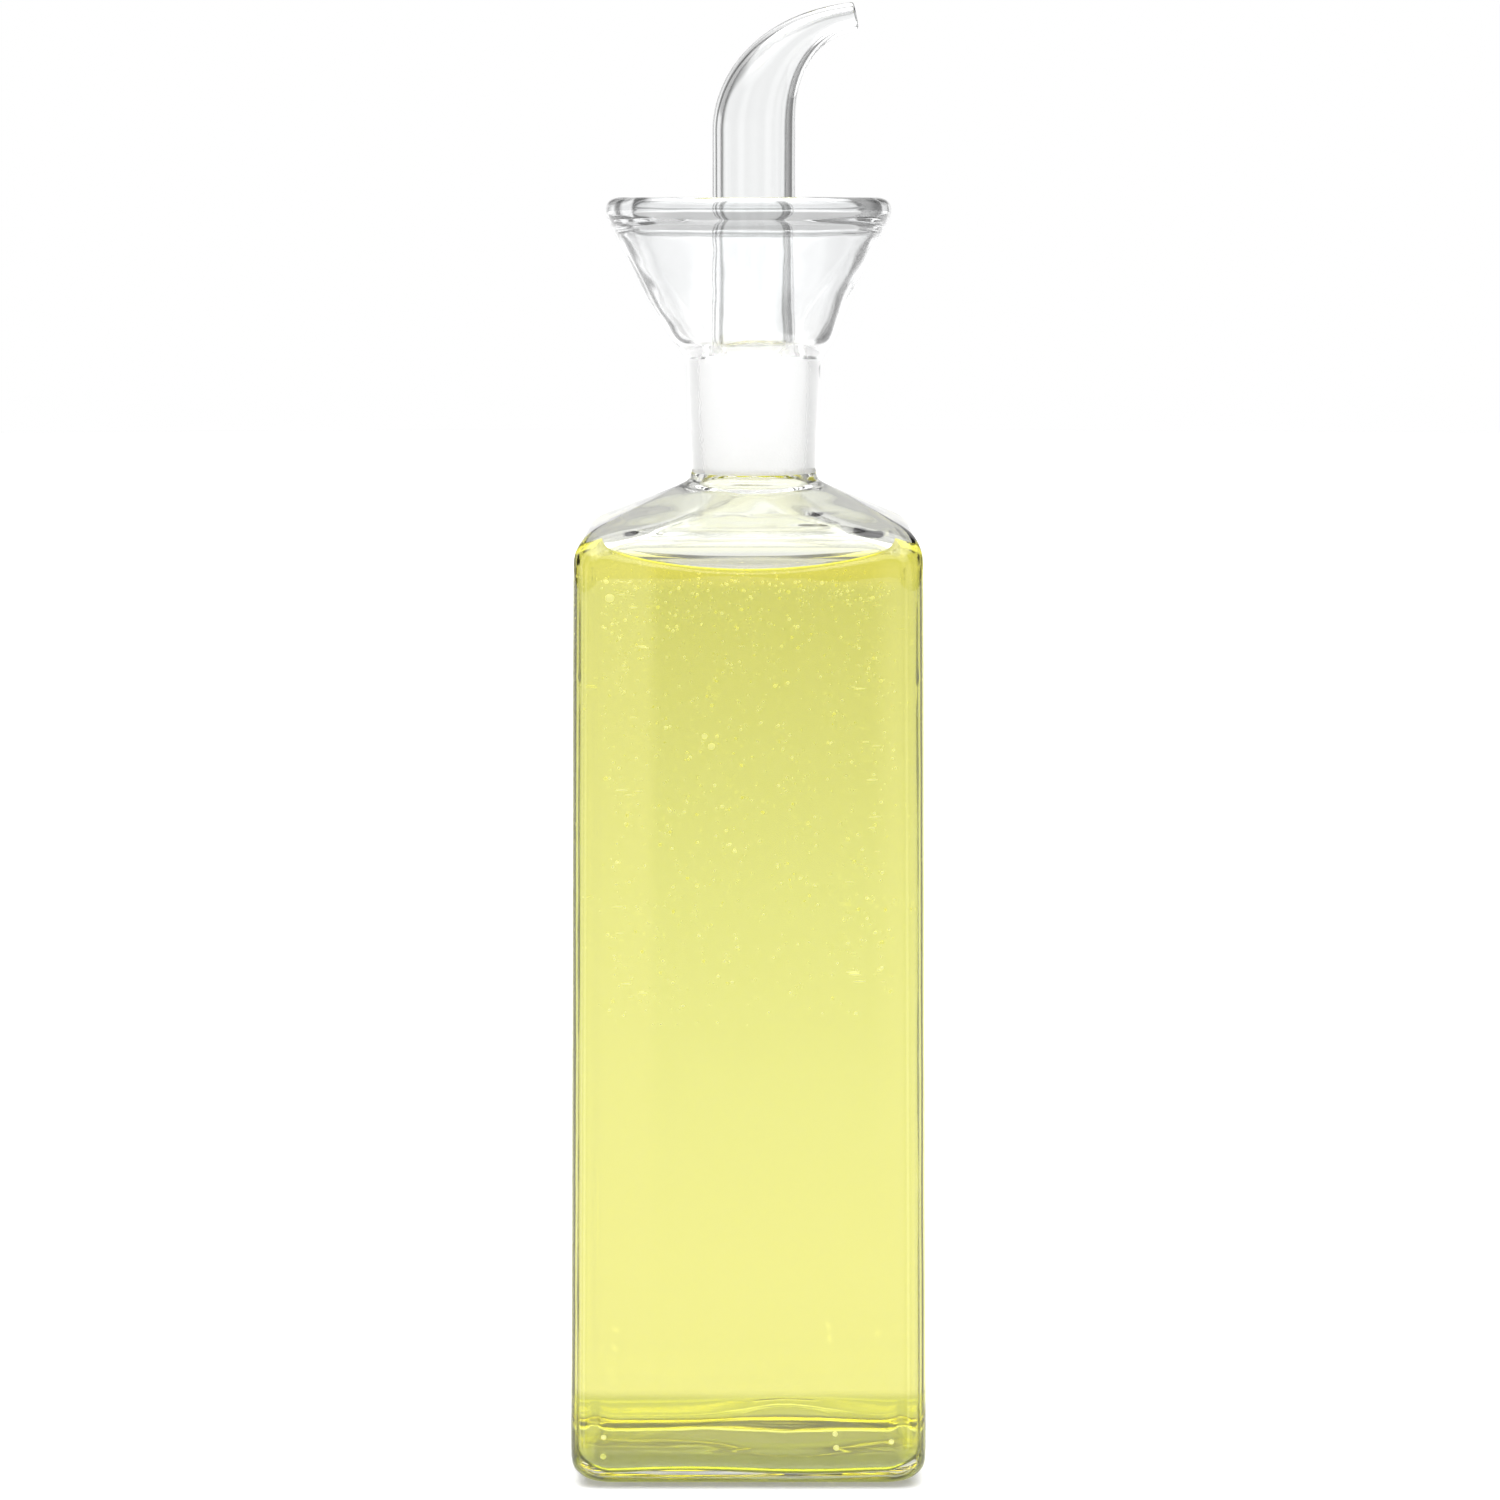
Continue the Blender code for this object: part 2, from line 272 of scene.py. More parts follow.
def smooth_step(share):
    """Share eased in and out, held between 0 and 1."""
    share = min(1.0, max(0.0, share))
    return share * share * (3 - 2 * share)


def body_half_width(z):
    return blend(BODY_HALF_WIDTH_BASE, BODY_HALF_WIDTH_TOP, z / BODY_TOP_Z)


def neck_radius(z):
    return blend(NECK_RADIUS_BASE, NECK_RADIUS_TOP, (z - NECK_BASE_Z) / (NECK_TOP_Z - NECK_BASE_Z))


def bore_radius(z):
    return neck_radius(z) - NECK_WALL


def funnel_radius(z):
    return FUNNEL_FOOT_RADIUS + (z - FUNNEL_FOOT_Z) * tan(FUNNEL_HALF_ANGLE)


def axis_x(z):
    """Sideways place of the bottle's axis: central in body and rim, off centre in the neck."""
    into_neck = smooth_step((z - BODY_TOP_Z) / (NECK_BASE_Z - BODY_TOP_Z))
    out_of_neck = smooth_step((z - NECK_TOP_Z) / (FUNNEL_CENTRED_Z - NECK_TOP_Z))
    return NECK_OFFSET_X * (into_neck - out_of_neck)


def round_station(radius, z):
    return (radius, radius, z)


def under_base():
    """Stations of the underside, from its middle out to the bottom edge's rounding."""
    edge_centre = body_half_width(BASE_EDGE_RADIUS) - BASE_EDGE_RADIUS
    ring_inside = edge_centre - BASE_RING_WIDTH
    stations = []
    for share in DOME_SHARES:
        half_width = ring_inside * share
        stations.append((half_width, BASE_CORNER_RADIUS, BASE_PUSH_UP * (1 - smooth_step(share))))
    for step in range(ARC_STEPS + 1):
        turn = pi / 2 * step / ARC_STEPS
        half_width = edge_centre + BASE_EDGE_RADIUS * sin(turn)
        corner = blend(BASE_CORNER_RADIUS, BODY_CORNER_RADIUS, sin(turn))
        stations.append((half_width, corner, BASE_EDGE_RADIUS * (1 - cos(turn))))
    return stations


def over_floor(inset):
    """Stations of the floor inside the bottle, from its middle to the wall."""
    wall_half_width = body_half_width(FLOOR_EDGE_RADIUS) - BODY_WALL - inset
    edge_radius = FLOOR_EDGE_RADIUS - inset
    edge_centre = wall_half_width - edge_radius
    floor_z = FLOOR_THICKNESS + inset
    wall_corner = BODY_CORNER_RADIUS - BODY_WALL - inset
    stations = []
    for share in DOME_SHARES[:-1]:
        half_width = edge_centre * share
        stations.append((half_width, wall_corner, floor_z + BASE_PUSH_UP * (1 - smooth_step(share))))
    for step in range(ARC_STEPS + 1):
        turn = pi / 2 * step / ARC_STEPS
        half_width = edge_centre + edge_radius * sin(turn)
        stations.append((half_width, wall_corner, floor_z + edge_radius * (1 - cos(turn))))
    return stations


def shoulder_edge(turn, inset):
    """Station of the rounded top of the body, at a turn up from level and an inset from its skin."""
    edge_radius = SHOULDER_EDGE_RADIUS - inset
    edge_centre = BODY_HALF_WIDTH_TOP - SHOULDER_EDGE_RADIUS
    corner = blend(BODY_CORNER_RADIUS - inset, SHOULDER_CORNER_RADIUS, turn / (pi / 2 - SHOULDER_SLOPE))
    return (edge_centre + edge_radius * cos(turn), corner, BODY_TOP_Z + edge_radius * sin(turn))


def shoulder(inset):
    """Stations of the shoulder, from the top of the body to the foot of the neck."""
    steps = range(ARC_STEPS + 1)
    stations = [shoulder_edge((pi / 2 - SHOULDER_SLOPE) * step / ARC_STEPS, inset) for step in steps]
    slope_width, slope_corner, slope_z = stations[-1]
    top_z = NECK_BASE_Z - inset / cos(SHOULDER_SLOPE)
    for step in range(1, ARC_STEPS + 1):
        share = step / ARC_STEPS
        half_width = blend(slope_width, SHOULDER_TOP_RADIUS, share)
        roundness = blend(slope_corner / slope_width, 1.0, share)
        stations.append((half_width, half_width * roundness, blend(slope_z, top_z, share)))
    return stations


def neck_foot(radius, shoulder_z, fillet):
    """Stations of the fillet that turns from the shoulder's slope up into the neck."""
    stations = []
    for turn in FOOT_TURNS:
        station_z = shoulder_z + fillet * (1 - cos(turn))
        stations.append(round_station(radius + fillet * (1 - sin(turn)), station_z))
    return stations


def outer_skin():
    """Stations of the bottle's outside, from the middle of the base up to the rim."""
    stations = under_base() + shoulder(0.0)
    stations += neck_foot(NECK_RADIUS_BASE, NECK_BASE_Z, NECK_FILLET_RADIUS)
    for z in (NECK_TOP_Z - FUNNEL_EASING, NECK_TOP_Z):
        stations.append(round_station(neck_radius(z), z))
    for z in (FUNNEL_FOOT_Z, FUNNEL_FOOT_Z + FUNNEL_EASING, FUNNEL_CENTRED_Z):
        stations.append(round_station(funnel_radius(z), z))
    return stations


def rim_bead():
    """Stations round the rolled rim, from where the cone runs into it over the top to its inner side."""
    bead_centre = RIM_OUTER_RADIUS - RIM_BEAD_RADIUS
    stations = []
    for step in range(BEAD_STEPS + 1):
        turn = blend(-FUNNEL_HALF_ANGLE, RIM_INNER_TURN, step / BEAD_STEPS)
        radius = bead_centre + RIM_BEAD_RADIUS * cos(turn)
        stations.append(round_station(radius, RIM_Z + RIM_BEAD_RADIUS * sin(turn)))
    return stations


def inner_skin():
    """Stations of the bottle's inside, from the rim down to the middle of the floor."""
    cone_inset = FUNNEL_WALL / cos(FUNNEL_HALF_ANGLE)
    stations = []
    for z in (RIM_Z - RIM_BEAD_DEPTH, FUNNEL_CENTRED_Z, FUNNEL_FOOT_Z + FUNNEL_EASING):
        stations.append(round_station(funnel_radius(z) - cone_inset, z))
    for z in (NECK_TOP_Z + FUNNEL_EASING, PLUG_BASE_Z):
        stations.append(round_station(bore_radius(z), z))
    under_shoulder = shoulder(BODY_WALL)
    shoulder_z = under_shoulder[-1][2]
    foot_fillet = PLUG_BASE_Z - shoulder_z - PLUG_EDGE
    stations += reversed(neck_foot(bore_radius(PLUG_BASE_Z), shoulder_z, foot_fillet))
    stations += reversed(under_shoulder)
    stations += reversed(over_floor(0.0))
    return stations


def refined(stations):
    """Stations with long steps divided and hard turns softened, so that the glass flows."""
    fine = [stations[0]]
    for first, last in zip(stations, stations[1:]):
        length = Vector((last[0] - first[0], last[2] - first[2])).length
        spacing = COARSE_SPACING if length > LONG_STRETCH else FINE_SPACING
        count = max(1, ceil(length / spacing))
        for step in range(1, count + 1):
            fine.append(tuple(blend(a, b, step / count) for a, b in zip(first, last)))
    for turn in range(SMOOTHING_PASSES):
        middle = [
            tuple((a + 2 * b + c) / 4 for a, b, c in zip(*trio))
            for trio in zip(fine, fine[1:], fine[2:])
        ]
        fine = [fine[0]] + middle + [fine[-1]]
    return fine


def quarter_angles(roundness):
    """Directions of a quarter of a ring: even round a circle, crowded at the corner of a square."""
    crowding = blend(CORNER_CROWDING, 1.0, roundness)
    angles = []
    for step in range(SIDES_PER_QUARTER):
        place = 2 * step / SIDES_PER_QUARTER - 1
        angles.append(pi / 4 * (1 + place * blend(crowding, 1.0, place * place)))
    return angles


def reach(half_width, corner_radius, angle):
    """Distance from a rounded square's centre to its edge, for an angle within the first quarter."""
    corner = half_width - corner_radius
    long_part = max(cos(angle), sin(angle))
    short_part = min(cos(angle), sin(angle))
    if half_width * short_part <= corner * long_part:
        return half_width / long_part
    offset = corner * (long_part - short_part)
    return corner * (long_part + short_part) + sqrt(corner_radius ** 2 - offset ** 2)


def level_ring(half_width, corner_radius, z):
    """Points of the level ring at one station."""
    corner_radius = min(corner_radius, half_width)
    angles = quarter_angles(corner_radius / half_width)
    distances = [(angle, reach(half_width, corner_radius, angle)) for angle in angles]
    ring = []
    for quarter in range(4):
        for angle, distance in distances:
            turned = angle + quarter * pi / 2
            ring.append(Vector((axis_x(z) + distance * cos(turned), distance * sin(turned), z)))
    return ring


def oil_wall(z):
    """Station of the oil's side at a height, just into the bottle's wall or the edge of its shoulder."""
    inset = BODY_WALL - OIL_INTO_WALL
    if z <= BODY_TOP_Z:
        return (body_half_width(z) - inset, BODY_CORNER_RADIUS - inset, z)
    return shoulder_edge(asin((z - BODY_TOP_Z) / (SHOULDER_EDGE_RADIUS - inset)), inset)


def creep(angle):
    """Height to which the oil climbs above its level, least at the middle of a side."""
    across = min(abs(sin(angle)), abs(cos(angle))) / max(abs(sin(angle)), abs(cos(angle)))
    return MENISCUS_HEIGHT + CORNER_CREEP * across * across


def oil_rings():
    """Rings of the oil's skin: its floor, its sides up to their edge on the glass, and its bowed top."""
    rings = [level_ring(*station) for station in refined(over_floor(-OIL_INTO_WALL))]
    foot_z = OIL_LEVEL_Z - MENISCUS_REACH
    side_z = rings[-1][0].z
    rows = ceil((foot_z - side_z) / COARSE_SPACING)
    rings += [level_ring(*oil_wall(blend(side_z, foot_z, step / rows))) for step in range(1, rows + 1)]
    first_quarter = quarter_angles(BODY_CORNER_RADIUS / BODY_HALF_WIDTH_TOP)
    angles = [angle + quarter * pi / 2 for quarter in range(4) for angle in first_quarter]
    for step in range(1, ARC_STEPS + 1):
        contact = []
        for angle in angles:
            half_width, corner, z = oil_wall(blend(foot_z, OIL_LEVEL_Z + creep(angle), step / ARC_STEPS))
            distance = reach(half_width, corner, angle % (pi / 2))
            contact.append(Vector((distance * cos(angle), distance * sin(angle), z)))
        rings.append(contact)
    for step in range(1, ARC_STEPS + 1):
        share = step / ARC_STEPS
        narrowed = 1 - MENISCUS_REACH / BODY_HALF_WIDTH_TOP * share
        ring = []
        for angle, point in zip(angles, contact):
            z = OIL_LEVEL_Z + creep(angle) * (1 - share) ** MENISCUS_POWER
            ring.append(Vector((point.x * narrowed, point.y * narrowed, z)))
        rings.append(ring)
    level_edge = rings[-1]
    for share in LEVEL_SHARES:
        rings.append([Vector((point.x * share, point.y * share, OIL_LEVEL_Z)) for point in level_edge])
    return rings


def centre_line(travel):
    """Point and direction of the spout's centre-line, a distance past the start of its bend."""
    turn = min(max(travel / BEND_RADIUS, 0.0), BEND_ANGLE)
    beyond = travel - turn * BEND_RADIUS
    direction = Vector((sin(turn), 0, cos(turn)))
    start = Vector((NECK_OFFSET_X, 0, BEND_START_Z))
    arc = Vector((BEND_RADIUS * (1 - cos(turn)), 0, BEND_RADIUS * sin(turn)))
    return start + arc + direction * beyond, direction


def tapered(full_radius, end_radius, travel):
    """Radius of the spout, which narrows smoothly along its bend."""
    return blend(full_radius, end_radius, smooth_step(travel / TAPER_LENGTH))


def spout_ring(travel, radius):
    """Points of a ring of the spout, square to its centre-line."""
    centre, direction = centre_line(travel)
    across = Vector((direction.z, 0, -direction.x))
    ring = []
    for step in range(SPOUT_SIDES):
        turn = 2 * pi * step / SPOUT_SIDES
        ring.append(centre + (across * cos(turn) + Vector((0, 1, 0)) * sin(turn)) * radius)
    return ring


def spout_stations():
    """Travel and radius of every ring of the spout, up its outside and back down its bore."""
    top_radius = bore_radius(PLUG_TOP_Z) - PLUG_GAP
    base_radius = bore_radius(PLUG_BASE_Z) - PLUG_GAP
    length = BEND_RADIUS * BEND_ANGLE + NOZZLE_LENGTH
    lip_start = length - NOZZLE_LIP_RADIUS
    bore = TUBE_RADIUS - TUBE_WALL
    travels = [lip_start * step / BEND_STEPS for step in range(BEND_STEPS + 1)]
    plug = [
        (base_radius - PLUG_EDGE, PLUG_BASE_Z),
        (base_radius, PLUG_BASE_Z + PLUG_EDGE),
        (top_radius, PLUG_TOP_Z - PLUG_EDGE),
        (top_radius - PLUG_EDGE, PLUG_TOP_Z),
        (TUBE_RADIUS + PLUG_EDGE, PLUG_TOP_Z + PLUG_EDGE),
        (TUBE_RADIUS, PLUG_TOP_Z + TUBE_SHOULDER_HEIGHT),
    ]
    lip_outer = tapered(TUBE_RADIUS, NOZZLE_RADIUS, lip_start)
    lip_inner = tapered(bore, ORIFICE_RADIUS, lip_start)
    lip_middle = (lip_outer + lip_inner) / 2
    lip_half = (lip_outer - lip_inner) / 2
    stations = [(z - BEND_START_Z, radius) for radius, z in plug]
    stations += [(travel, tapered(TUBE_RADIUS, NOZZLE_RADIUS, travel)) for travel in travels]
    for step in range(1, LIP_STEPS):
        turn = pi * step / LIP_STEPS
        stations.append((lip_start + NOZZLE_LIP_RADIUS * sin(turn), lip_middle + lip_half * cos(turn)))
    stations += [(travel, tapered(bore, ORIFICE_RADIUS, travel)) for travel in reversed(travels)]
    stations.append((PLUG_BASE_Z - BEND_START_Z, bore))
    return stations


def divided(stations):
    """Spout stations with long steps divided."""
    fine = [stations[0]]
    for first, last in zip(stations, stations[1:]):
        count = max(1, ceil((Vector(last) - Vector(first)).length / FINE_SPACING))
        for step in range(1, count + 1):
            fine.append(tuple(blend(a, b, step / count) for a, b in zip(first, last)))
    return fine


def mesh_piece(name, points, faces):
    """Smooth mesh object of the given points and faces."""
    data = bpy.data.meshes.new(name)
    data.from_pydata([tuple(point) for point in points], [], faces)
    data.validate()
    data.shade_smooth()
    piece = bpy.data.objects.new(name, data)
    bpy.context.scene.collection.objects.link(piece)
    return piece


def loft(name, rings, ends_meet):
    """Closed mesh object through rings in order, with fans over its ends where they don't meet."""
    sides = len(rings[0])
    points = [point for ring in rings for point in ring]
    faces = []
    row_count = len(rings)
    for row in range(row_count if ends_meet else row_count - 1):
        start = row * sides
        above = (row + 1) % row_count * sides
        for step in range(sides):
            following = (step + 1) % sides
            faces.append((start + step, start + following, above + following, above + step))
    if not ends_meet:
        for start, turned in ((0, True), ((row_count - 1) * sides, False)):
            middle = sum((points[start + step] for step in range(sides)), Vector()) / sides
            points.append(middle)
            for step in range(sides):
                edge = (start + step, start + (step + 1) % sides)
                faces.append((*(reversed(edge) if turned else edge), len(points) - 1))
    return mesh_piece(name, points, faces)


def waves(point, depth, length, pattern):
    """Smooth unevenness at a point, whose waves have about the given depth and length."""
    return depth * noise.noise(point / length + Vector((pattern, pattern * 1.7, pattern * 0.3)))


def floor_swell(point):
    """Height of the floor's unevenness at a point, which fades out up the wall."""
    fade = 1 - smooth_step((point.z - FLOOR_THICKNESS - BASE_PUSH_UP) / SWELL_FADE)
    towards_back = smooth_step(point.y / BODY_HALF_WIDTH_BASE + SWELL_FRONT_SHARE)
    hump = exp(-((point.x - SWELL_X) / SWELL_WIDTH) ** 2) * towards_back
    return fade * (SWELL_HEIGHT * hump + waves(Vector((point.x, point.y, 0)), *FLOOR_WAVES))


def ripple(piece, depth_at):
    """Moves each point along its normal, by what depth_at says for that point and its index."""
    data = piece.data
    normals = [vertex.normal.copy() for vertex in data.vertices]
    for vertex, normal in zip(data.vertices, normals):
        vertex.co += normal * depth_at(vertex.co, vertex.index)


def principled(name, colour, roughness, transmission=0.0, refraction=GLASS_REFRACTION):
    """New node material, with its Principled shader."""
    finish = bpy.data.materials.new(name)
    finish.use_nodes = True
    shader = finish.node_tree.nodes["Principled BSDF"]
    shader.inputs["Base Color"].default_value = (*colour, 1.0)
    shader.inputs["Roughness"].default_value = roughness
    shader.inputs["Transmission Weight"].default_value = transmission
    shader.inputs["IOR"].default_value = refraction
    return finish, shader


def fill_ramp(ramp, stops):
    """Sets a colour ramp's stops, each a position and a colour."""
    while len(ramp.color_ramp.elements) < len(stops):
        ramp.color_ramp.elements.new(0.5)
    for element, (position, colour) in zip(ramp.color_ramp.elements, stops):
        element.position = position
        element.color = (*colour, 1.0)


def add_bump(finish, shader, length, height):
    """Fine bumps in the surface, of a given length and height."""
    nodes = finish.node_tree.nodes
    links = finish.node_tree.links
    place = nodes.new("ShaderNodeTexCoord")
    texture = nodes.new("ShaderNodeTexNoise")
    texture.inputs["Scale"].default_value = 1 / length
    texture.inputs["Detail"].default_value = 1.0
    bump = nodes.new("ShaderNodeBump")
    bump.inputs["Distance"].default_value = height
    bump.inputs["Strength"].default_value = 1.0
    links.new(place.outputs["Object"], texture.inputs["Vector"])
    links.new(texture.outputs["Fac"], bump.inputs["Height"])
    links.new(bump.outputs["Normal"], shader.inputs["Normal"])


def add_absorption(finish, colour, density):
    """Colour that deepens with the length of the light's way through the piece."""
    nodes = finish.node_tree.nodes
    absorption = nodes.new("ShaderNodeVolumeAbsorption")
    absorption.inputs["Color"].default_value = (*colour, 1.0)
    absorption.inputs["Density"].default_value = density
    finish.node_tree.links.new(absorption.outputs["Volume"], nodes["Material Output"].inputs["Volume"])


def add_glow(shader, colour, strength):
    """Light that the surface gives off."""
    shader.inputs["Emission Color"].default_value = (*colour, 1.0)
    shader.inputs["Emission Strength"].default_value = strength


def joined(nodes, operation, first, second):
    """Output of a math node that combines two outputs, or an output and a number."""
    node = nodes.new("ShaderNodeMath")
    node.operation = operation
    for socket, source in zip(node.inputs, (first, second)):
        if isinstance(source, (int, float)):
            socket.default_value = source
        else:
            node.id_data.links.new(source, socket)
    return node.outputs["Value"]


def mapped(nodes, source, before, after):
    """Output of a node that maps one range of a value smoothly onto another."""
    node = nodes.new("ShaderNodeMapRange")
    node.interpolation_type = "SMOOTHSTEP"
    for name, value in zip(("From Min", "From Max", "To Min", "To Max"), (*before, *after)):
        node.inputs[name].default_value = value
    node.id_data.links.new(source, node.inputs["Value"])
    return node.outputs["Result"]


def tint_by_height(tree, low, high, stops):
    """Colour output of a ramp over the heights from low to high, and the node that gives X, Y and Z."""
    place = tree.nodes.new("ShaderNodeTexCoord")
    parts = tree.nodes.new("ShaderNodeSeparateXYZ")
    height = tree.nodes.new("ShaderNodeMapRange")
    height.inputs["From Min"].default_value = low
    height.inputs["From Max"].default_value = high
    ramp = tree.nodes.new("ShaderNodeValToRGB")
    fill_ramp(ramp, stops)
    tree.links.new(place.outputs["Object"], parts.inputs["Vector"])
    tree.links.new(parts.outputs["Z"], height.inputs["Value"])
    tree.links.new(height.outputs["Result"], ramp.inputs["Fac"])
    return ramp.outputs["Color"], parts


def clear_glass():
    """Clear glass of the spout."""
    finish, shader = principled("clear_glass", SPOUT_COLOUR, 0.0, 1.0)
    add_bump(finish, shader, *GLASS_BUMPS)
    return finish


def bottle_glass():
    """Clear glass with a painted reflection of the oil's yellow on the shoulder and painted shade on the
    funnel.
    """
    finish, shader = principled("bottle_glass", WHITE, 0.0, 1.0)
    tree = finish.node_tree
    # Painted light: yellow on the shoulder for the oil's reflection, and grey on the funnel for shade
    tint, _ = tint_by_height(tree, BODY_TOP_Z, FUNNEL_CENTRED_Z, BOTTLE_PAINTED_TINTS)
    tree.links.new(tint, shader.inputs["Base Color"])
    add_bump(finish, shader, *GLASS_BUMPS)
    return finish


def ground_glass():
    """White ground glass of the plug and of the bore that it sits in."""
    finish, shader = principled("ground_glass", WHITE, GROUND_ROUGHNESS, GROUND_TRANSMISSION)
    add_glow(shader, WHITE, GROUND_GLOW)
    add_bump(finish, shader, *GROUND_BUMPS)
    return finish


def oil_finish():
    """Yellow oil: its colour comes from the light's way through it and from its skin's colour by height, a
    little deeper towards the top, with painted shade at its foot and painted light towards both sides.
    """
    finish, shader = principled("yellow_oil", WHITE, 0.0, 1.0, OIL_REFRACTION)
    tree = finish.node_tree
    # Skin colour by height, with painted shade in the olive band at its foot
    tint, parts = tint_by_height(tree, 0.0, OIL_LEVEL_Z, OIL_TINTS_AND_PAINTED_SHADE)
    # Painted light: the skin is mixed towards white towards both sides, above its foot
    left = mapped(tree.nodes, parts.outputs["X"], LEFT_FADES, (LEFT_PAINTED_LIGHT, 0.0))
    right = mapped(tree.nodes, parts.outputs["X"], RIGHT_STARTS, (0.0, RIGHT_PAINTED_LIGHT))
    above_foot = mapped(tree.nodes, parts.outputs["Z"], FOOT_ENDS, (0.0, 1.0))
    sides = joined(tree.nodes, "ADD", left, right)
    lighter = tree.nodes.new("ShaderNodeMix")
    lighter.data_type = "RGBA"
    lighter.inputs["B"].default_value = (*WHITE, 1.0)
    tree.links.new(joined(tree.nodes, "MULTIPLY", sides, above_foot), lighter.inputs["Factor"])
    tree.links.new(tint, lighter.inputs["A"])
    tree.links.new(lighter.outputs["Result"], shader.inputs["Base Color"])
    add_absorption(finish, OIL_ABSORPTION, OIL_DENSITY)
    return finish


def bubble_finish():
    """Pale, faintly bright skin of the bubbles."""
    finish, shader = principled("bubbles", BUBBLE_COLOUR, BUBBLE_ROUGHNESS)
    add_glow(shader, BUBBLE_LIGHT, BUBBLE_GLOW)
    add_bump(finish, shader, *BUBBLE_BUMPS)
    return finish


def dress(piece, finishes, node):
    """Puts finishes on a piece, hangs it on the root body, and hides the CAD node that it stands for."""
    for finish in finishes:
        piece.data.materials.append(finish)
    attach(piece, "root")
    if node:
        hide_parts(node)


def build_bottle():
    """Bottle of hand-worked glass, with waves that differ on its two skins."""
    stations = refined(outer_skin() + rim_bead() + inner_skin())
    rings = [level_ring(*station) for station in stations]
    piece = loft("bottle_glass", rings, ends_meet=False)
    top_row = max(range(len(stations)), key=lambda row: stations[row][2])
    outer_count = top_row * len(rings[0])

    def depth_at(point, index):
        pattern = OUTSIDE_PATTERN if index < outer_count else INSIDE_PATTERN
        if point.z > NECK_TOP_Z:
            return waves(point, *FUNNEL_WAVES, pattern) + waves(point, *FUNNEL_RIPPLES, pattern)
        if point.z > BODY_TOP_Z + SHOULDER_EDGE_RADIUS:
            return waves(point, *SHOULDER_WAVES, pattern)
        if point.z < BASE_EDGE_RADIUS:
            return 0.0
        return waves(point, *BODY_WAVES, pattern)

    ripple(piece, depth_at)
    for vertex in piece.data.vertices[outer_count:]:
        vertex.co.z += floor_swell(vertex.co)
    dress(piece, [bottle_glass(), ground_glass()], "bottle")
    ground_rows = {
        row for row, (half_width, corner, z) in enumerate(stations)
        if row > top_row and PLUG_BASE_Z < z < PLUG_TOP_Z and half_width < NECK_RADIUS_BASE
    }
    for face in piece.data.polygons:
        face.material_index = 1 if face.index // len(rings[0]) in ground_rows else 0
    return piece


def build_spout():
    """Hollow spout, clear above its ground plug."""
    stations = divided(spout_stations())
    rings = [spout_ring(*station) for station in stations]
    piece = loft("spout_glass", rings, ends_meet=True)
    sides = len(rings[0])
    plug_rows = [
        row for row, (travel, radius) in enumerate(stations)
        if travel <= PLUG_TOP_Z - BEND_START_Z and radius > TUBE_RADIUS
    ]
    ground_faces = (max(plug_rows) + 1) * sides
    ripple(piece, lambda point, index: waves(point, *(PLUG_WAVES if index < ground_faces else TUBE_WAVES)))
    dress(piece, [clear_glass(), ground_glass()], "spout")
    for face in piece.data.polygons:
        face.material_index = 1 if face.index < ground_faces else 0
    return piece


def build_oil():
    """Oil that fills the glass up to its bowed surface."""
    piece = loft("oil_fill", oil_rings(), ends_meet=False)
    for vertex in piece.data.vertices:
        vertex.co.z += floor_swell(vertex.co)
    dress(piece, [oil_finish()], "oil")
    return piece


def bubble_shape():
    """Corners and faces of a small ball of unit radius."""
    ball = bmesh.new()
    bmesh.ops.create_icosphere(ball, subdivisions=2, radius=1.0)
    corners = [corner.co.copy() for corner in ball.verts]
    faces = [tuple(corner.index for corner in face.verts) for face in ball.faces]
    ball.free()
    return corners, faces


def bubble_room(z, radius):
    """How far a bubble's centre can be from the bottle's axis, along X or Y, at a height."""
    return body_half_width(z) - BODY_WALL - radius - BUBBLE_CLEARANCE


def build_bubbles():
    """Fine bubbles, crowded just under the oil's surface and thinning out downwards."""
    chance = random.Random(7)
    bubbles = []
    for turn in range(BUBBLE_COUNT):
        radius = BUBBLE_RADIUS + BUBBLE_RADIUS_SPREAD * chance.random() ** 3
        z = OIL_LEVEL_Z - BUBBLE_START - BUBBLE_DEPTH * chance.random() ** BUBBLE_CROWDING
        room = bubble_room(z, radius)
        centre = Vector((chance.uniform(-room, room), chance.uniform(-room, room), z))
        stretch = chance.uniform(*BUBBLE_STRETCH)
        if chance.random() < STREAK_SHARE:
            radius *= STREAK_THINNESS
            stretch = chance.uniform(*STREAK_STRETCH)
            centre.x = chance.choice((-1, 1)) * chance.uniform(*STREAK_PLACES) * room
            centre.y = -room
        elif chance.random() < FRONT_SHARE:
            centre.y = -room
        if min(abs(centre.x), abs(centre.y)) > room - CORNER_WIDTH:
            centre *= CORNER_DRAW
            centre.z = z
        bubbles.append((centre, radius, stretch))
    for x, z, radius in LARGE_BUBBLES:
        bubbles.append((Vector((x, -bubble_room(z, radius), z)), radius, LARGE_STRETCH))

    corners, faces = bubble_shape()
    all_points = []
    all_faces = []
    for centre, radius, stretch in bubbles:
        start = len(all_points)
        for corner in corners:
            all_points.append(centre + Vector((corner.x * stretch, corner.y, corner.z)) * radius)
        all_faces += [tuple(start + index for index in face) for face in faces]
    piece = mesh_piece("bubbles", all_points, all_faces)
    dress(piece, [bubble_finish()], None)
    return piece


